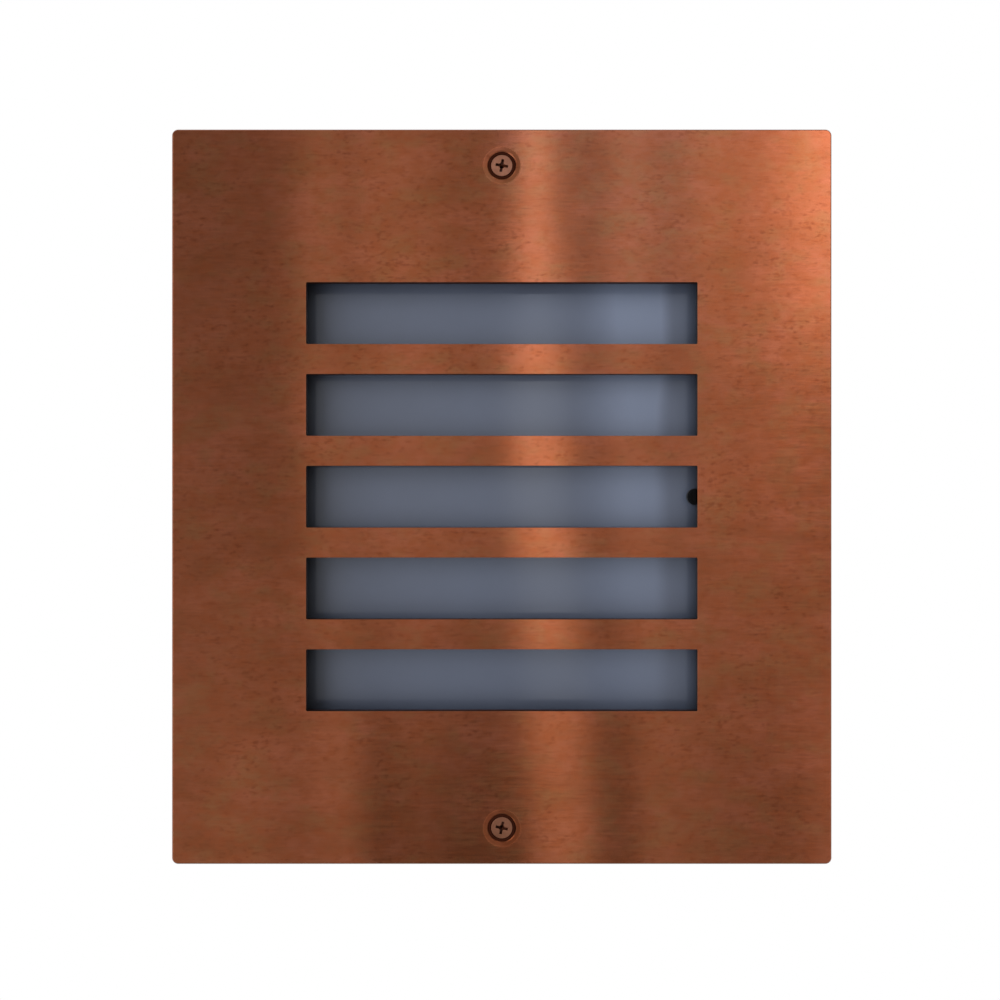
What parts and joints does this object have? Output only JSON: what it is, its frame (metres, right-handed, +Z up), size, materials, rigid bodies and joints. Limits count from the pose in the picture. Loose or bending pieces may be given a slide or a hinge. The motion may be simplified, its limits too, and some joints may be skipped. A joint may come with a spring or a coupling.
{
  "type": "recessed wall light",
  "caption": "Recessed outdoor wall light: slotted copper face plate over a frosted pane, on a wall box with a screw-in lamp, reflector and cable gland.",
  "frame": {"origin": "middle of the wall plane, where the wall box's flange rests on the wall", "axes": "+X to the right seen from the front, +Y into the wall, +Z up"},
  "size_m": [0.22, 0.1335, 0.245],
  "materials": {
    "copper": "brushed and lacquered, slightly aged",
    "steel_screw": "satin",
    "black_rubber": "matte",
    "dark_plastic": "moulded",
    "zinc_steel": "zinc plated",
    "frosted_glass": "sand-blasted",
    "black_plastic": "moulded, fine texture",
    "brass": "plain",
    "white_paint": "gloss white",
    "porcelain": "glazed",
    "nickel": "nickel plated",
    "black_glass": "glossy",
    "white_plastic": "satin",
    "opal_plastic": "opal",
    "natural_nylon": "translucent white",
    "brown_lead": "soft sheath",
    "blue_lead": "soft sheath",
    "grey_nylon": "moulded"
  },
  "bodies": {
    "wall_box": {"wall_box": "black_plastic", "screw_inserts": "brass", "reflector": "white_paint", "reflector_screws": "zinc_steel", "lampholder_bracket": "zinc_steel", "bracket_rivets": "zinc_steel", "lampholder_body": "porcelain", "lampholder_screws": "zinc_steel", "lampholder_shell": "nickel", "lampholder_contact": "brass", "terminal_block": "natural_nylon", "terminal_screws": "brass", "terminal_fixings": "zinc_steel", "live_lead": "brown_lead", "neutral_lead": "blue_lead", "gland_washer": "black_rubber", "gland_body": "grey_nylon", "gland_locknut": "grey_nylon", "gland_seal": "black_rubber", "plug_washer": "black_rubber", "blanking_plug": "grey_nylon", "plug_locknut": "grey_nylon"},
    "cover": {"face_plate": "copper", "cover_gasket": "black_rubber", "glass_frame": "dark_plastic", "frame_studs": "zinc_steel", "frame_nuts": "zinc_steel", "glass_gasket": "black_rubber", "glass_pane": "frosted_glass", "glass_retainer_top": "zinc_steel", "glass_retainer_bottom": "zinc_steel", "retainer_screws": "zinc_steel", "plate_bumpers": "black_rubber"},
    "top_seal": {"screw_seal_top": "black_rubber"},
    "top_screw": {"cover_screw_top": "steel_screw"},
    "bottom_seal": {"screw_seal_bottom": "black_rubber"},
    "bottom_screw": {"cover_screw_bottom": "steel_screw"},
    "lamp": {"lamp_contact": "brass", "lamp_insulator": "black_glass", "lamp_cap": "nickel", "lamp_housing": "white_plastic", "lamp_globe": "opal_plastic"},
    "gland_nut": {"gland_nut": "grey_nylon"}
  },
  "joints": [
    {"name": "cover_pull", "type": "slide", "parent": "wall_box", "child": "cover", "axis": [0, -1, 0], "range_m": [0, 0.08]},
    {"name": "top_screw_back_out", "type": "slide", "parent": "cover", "child": "top_seal", "axis": [0, -1, 0], "range_m": [0, 0.0105]},
    {"name": "top_screw_turn", "type": "hinge", "parent": "top_seal", "child": "top_screw", "pos_m": [0, 0, 0.1105], "axis": [0, -1, 0], "range_deg": [0, 5400]},
    {"name": "bottom_screw_back_out", "type": "slide", "parent": "cover", "child": "bottom_seal", "axis": [0, -1, 0], "range_m": [0, 0.0105]},
    {"name": "bottom_screw_turn", "type": "hinge", "parent": "bottom_seal", "child": "bottom_screw", "pos_m": [0, 0, -0.1105], "axis": [0, -1, 0], "range_deg": [0, 5400]},
    {"name": "lamp_turn", "type": "hinge", "parent": "wall_box", "child": "lamp", "pos_m": [0, 0.0538, 0], "axis": [1, 0, 0], "range_deg": [0, 1260]},
    {"name": "gland_nut_turn", "type": "hinge", "parent": "wall_box", "child": "gland_nut", "pos_m": [-0.05, 0.115, -0.08], "axis": [0, 1, 0], "range_deg": [0, 1080]}
  ],
  "couplings": [
    {"joint": "top_screw_turn", "follows": "top_screw_back_out", "rad_per_m": 8976},
    {"joint": "bottom_screw_turn", "follows": "bottom_screw_back_out", "rad_per_m": 8976}
  ]
}
